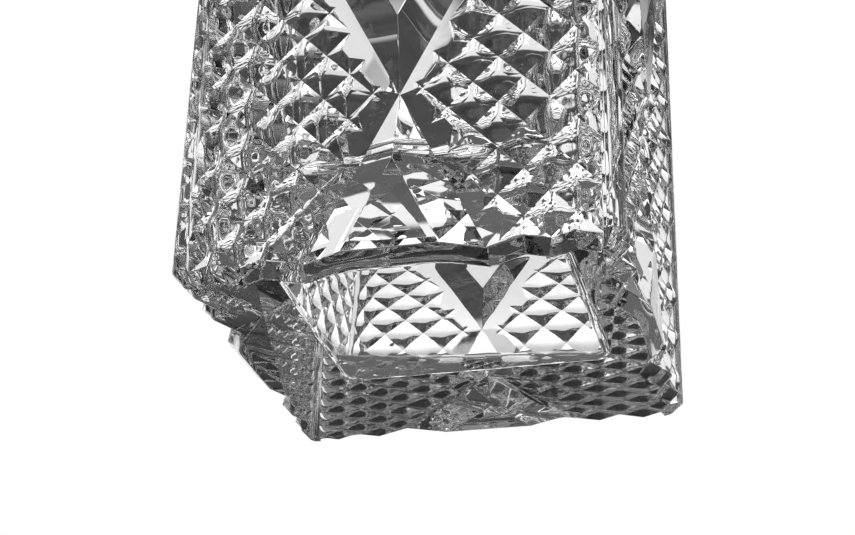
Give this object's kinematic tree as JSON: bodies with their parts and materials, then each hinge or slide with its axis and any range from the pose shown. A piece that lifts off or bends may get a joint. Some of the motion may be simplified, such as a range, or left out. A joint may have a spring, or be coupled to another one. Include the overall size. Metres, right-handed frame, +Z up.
{
  "type": "crystal carafe",
  "caption": "Square cut-crystal carafe with a thick base, diamond-cut sides crossed by mitre cuts, and a square glass stopper in a soft sealing sleeve.",
  "frame": {"origin": "middle of the flat base, on the surface that the carafe stands on", "axes": "+Z up through the neck and the stopper, +X and +Y square to two of the four alike sides"},
  "size_m": [0.1, 0.1, 0.2388],
  "materials": {
    "crystal": "clear, fire-polished, with cut facets",
    "soft_seal": "milky translucent soft plastic"
  },
  "bodies": {
    "carafe": {"carafe_body": "crystal"},
    "seal": {"stopper_seal": "soft_seal"},
    "stopper": {"stopper": "crystal"}
  },
  "joints": [
    {"name": "stopper_lift", "type": "slide", "parent": "carafe", "child": "seal", "axis": [0, 0, 1], "range_m": [0, 0.03]},
    {"name": "stopper_turn", "type": "hinge", "parent": "seal", "child": "stopper", "pos_m": [0, 0, 0.19], "axis": [0, 0, 1], "continuous": true}
  ]
}
